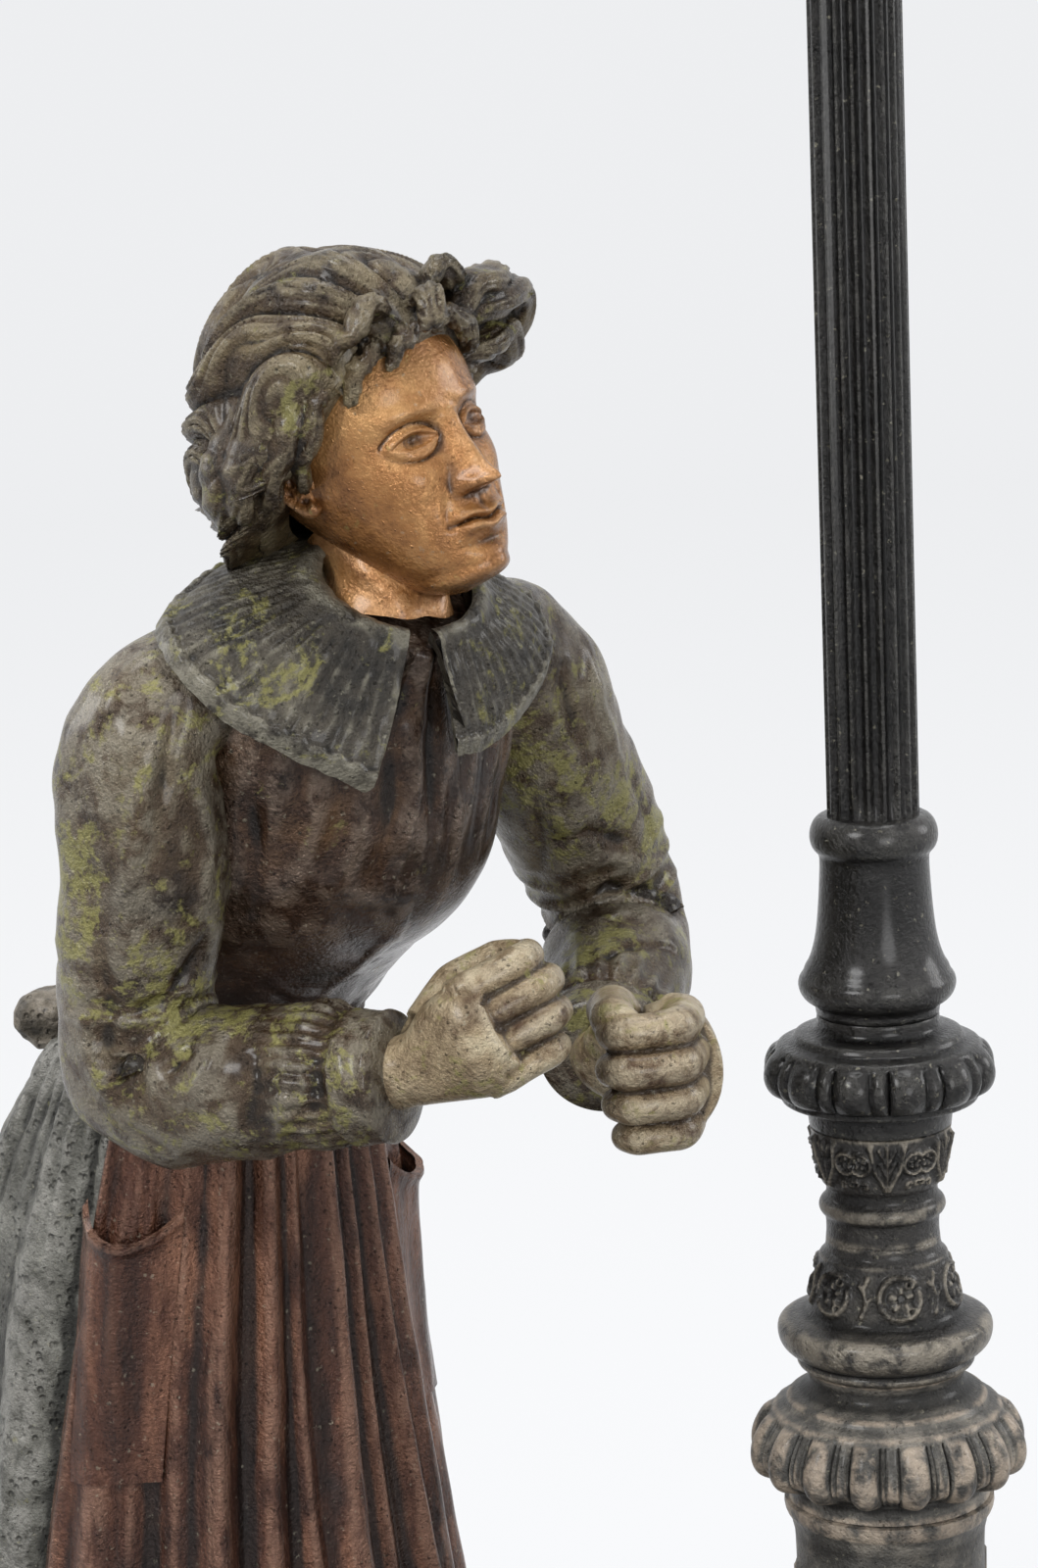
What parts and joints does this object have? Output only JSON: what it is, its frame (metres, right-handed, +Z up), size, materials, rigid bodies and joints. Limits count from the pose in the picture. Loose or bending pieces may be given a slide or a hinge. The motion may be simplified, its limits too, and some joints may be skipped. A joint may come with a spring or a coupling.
{
  "type": "figural table lamp",
  "caption": "Table lamp: cast woman in an apron leaning forward beside a fluted street-lamp post with a hinged-door lantern, on a hollow stepped base.",
  "frame": {"origin": "middle of the base's underside, on the table", "axes": "+Z up along the post, +X towards the post's side of the base, -Y towards the lantern's door and the viewer"},
  "size_m": [0.3, 0.2, 0.779],
  "materials": {
    "painted_casting": "satin",
    "base_paint": "satin",
    "felt": "matte",
    "steel": "satin",
    "brass": "satin",
    "lantern_paint": "satin",
    "pane_glass": "gloss",
    "bulb_glass": "gloss",
    "porcelain": "gloss",
    "black_plastic": "gloss",
    "skirt_patina": "matte",
    "apron_patina": "satin",
    "bodice_patina": "satin",
    "sleeve_patina": "satin",
    "collar_patina": "satin",
    "skin_patina": "gloss",
    "hair_patina": "satin"
  },
  "bodies": {
    "lamp": {"apron_bow": "skirt_patina", "base_casting": "base_paint", "base_cover": "felt", "base_ground": "base_paint", "bulb_cap": "brass", "bulb_filament": "steel", "bulb_glass": "bulb_glass", "centre_contact": "brass", "contact_sleeve": "brass", "figure_apron": "apron_patina", "figure_bodice": "bodice_patina", "figure_collar": "collar_patina", "figure_hair": "hair_patina", "figure_head": "skin_patina", "figure_screws": "steel", "figure_shoes": "painted_casting", "figure_skirt": "skirt_patina", "fluted_shaft": "painted_casting", "hand_left": "skin_patina", "hand_right": "skin_patina", "hinge_leaves": "lantern_paint", "hinge_pins": "steel", "holder_cap": "brass", "holder_insert": "porcelain", "holder_shell": "brass", "inlet_bush": "brass", "lantern_corner_bars": "lantern_paint", "lantern_floor": "lantern_paint", "lantern_nut": "brass", "lantern_roof": "lantern_paint", "lantern_seat": "lantern_paint", "lantern_top_rail": "lantern_paint", "pane_back": "pane_glass", "pane_left": "pane_glass", "pane_right": "pane_glass", "post_bell": "painted_casting", "post_drum": "painted_casting", "post_leaf_cup": "painted_casting", "post_lower_gadroon": "painted_casting", "post_plinth": "painted_casting", "post_scroll_flare": "painted_casting", "post_upper_gadroon": "painted_casting", "roof_cap": "lantern_paint", "roof_finial": "lantern_paint", "roof_vent_collar": "lantern_paint", "shaft_capital": "painted_casting", "sleeve_left": "sleeve_patina", "sleeve_right": "sleeve_patina", "stem_nut": "brass", "stem_tube": "steel", "stem_washer": "steel"},
    "door": {"door_frame": "lantern_paint", "door_pane": "pane_glass", "door_knob": "brass"},
    "key": {"switch_key": "black_plastic"}
  },
  "joints": [
    {"name": "lantern_door_hinge", "type": "hinge", "parent": "lamp", "child": "door", "pos_m": [0.11655, -0.03295, 0.5705], "axis": [0.165, -0.165, 0.9724], "range_deg": [0, 110]},
    {"name": "switch_key_turn", "type": "hinge", "parent": "lamp", "child": "key", "pos_m": [0.091, -0.0222, 0.5927], "axis": [0, -1, 0], "continuous": true}
  ]
}
